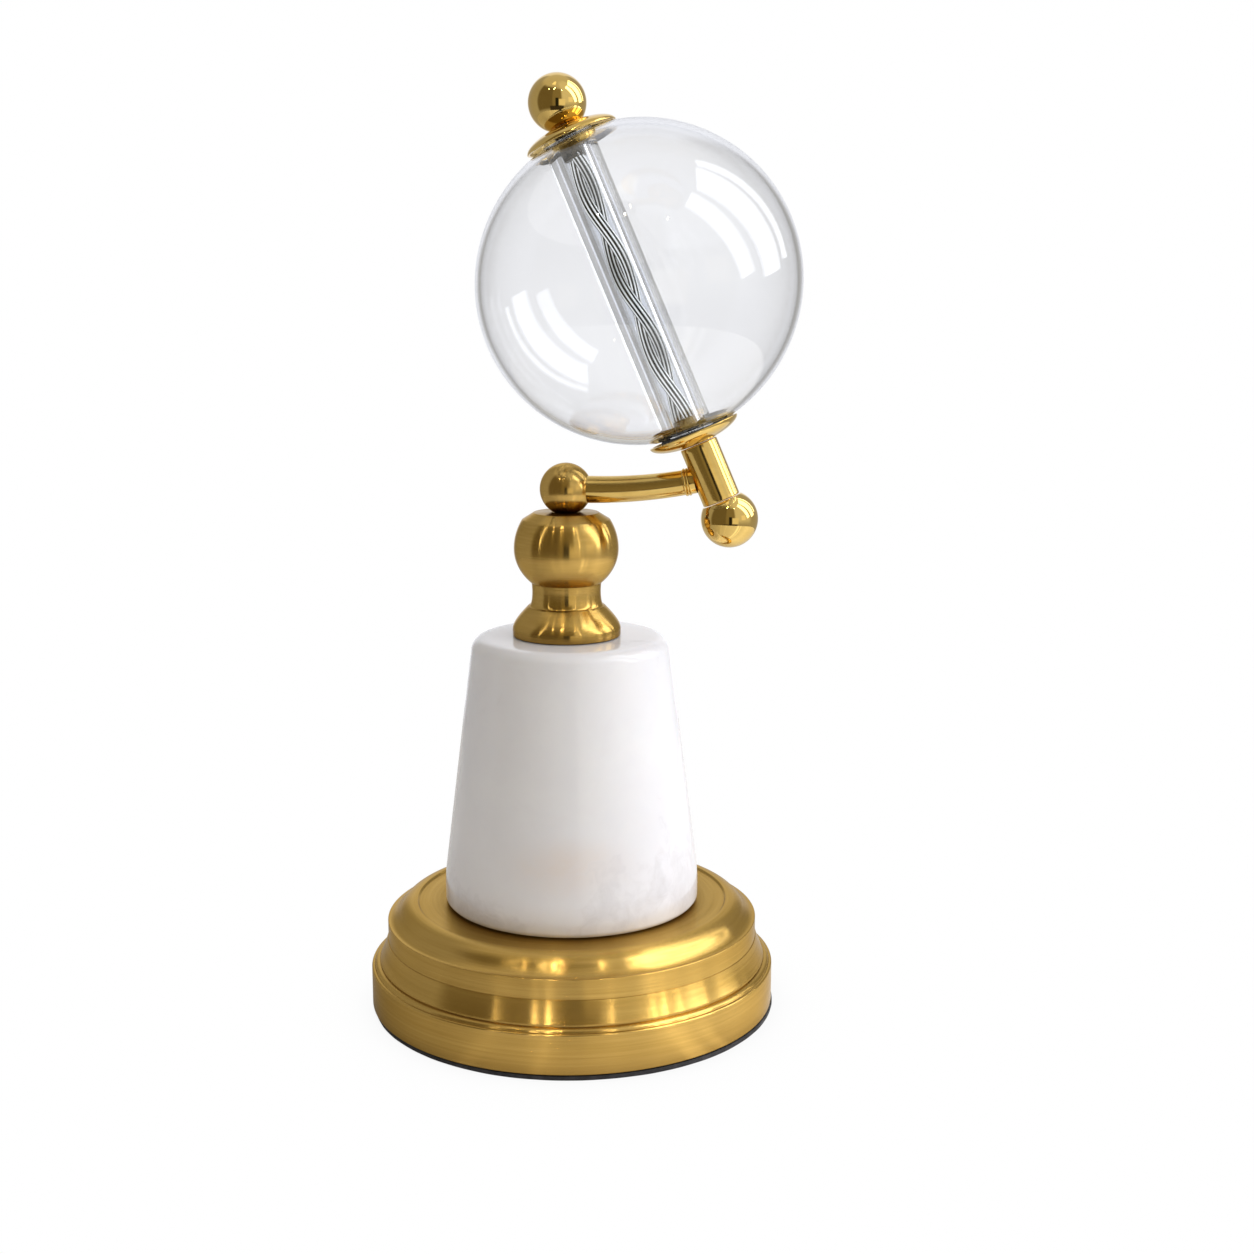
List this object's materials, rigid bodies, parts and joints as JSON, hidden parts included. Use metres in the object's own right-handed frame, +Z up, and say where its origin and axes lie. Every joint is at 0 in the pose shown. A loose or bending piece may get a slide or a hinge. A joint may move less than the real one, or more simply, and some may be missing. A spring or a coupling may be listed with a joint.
{
  "type": "glass globe ornament",
  "caption": "Clear glass globe with a glass tube and twisted metal core on a tilted axis, held by a curved brass arm on a turned brass neck, marble cone and stepped brass base.",
  "frame": {"origin": "middle of the underside of the base, on the surface the ornament stands on", "axes": "+Z up along the stand, +X horizontally to the side the curved arm reaches to, +Y to the back"},
  "size_m": [0.1639, 0.1556, 0.3516],
  "materials": {
    "foot_pad": "matt black",
    "stepped_base": "brushed round",
    "marble_cone": "polished white marble",
    "turned_neck": "brushed round",
    "arm_ball": "brushed",
    "curved_arm": "polished",
    "tilt_sleeve": "polished",
    "lower_ball": "mirror polished",
    "lower_dish": "polished",
    "tube_gasket": "black",
    "inner_tube": "clear",
    "twisted_core": "twisted wire strands with threaded ends",
    "glass_globe": "clear",
    "top_cap": "polished",
    "top_ball": "mirror polished"
  },
  "bodies": {
    "root": {"foot_pad": "foot_pad", "stepped_base": "stepped_base", "marble_cone": "marble_cone", "turned_neck": "turned_neck", "arm_ball": "arm_ball", "curved_arm": "curved_arm", "tilt_sleeve": "tilt_sleeve", "lower_ball": "lower_ball", "lower_dish": "lower_dish", "tube_gasket": "tube_gasket", "inner_tube": "inner_tube", "twisted_core": "twisted_core", "glass_globe": "glass_globe", "top_cap": "top_cap", "top_ball": "top_ball"}
  },
  "joints": []
}
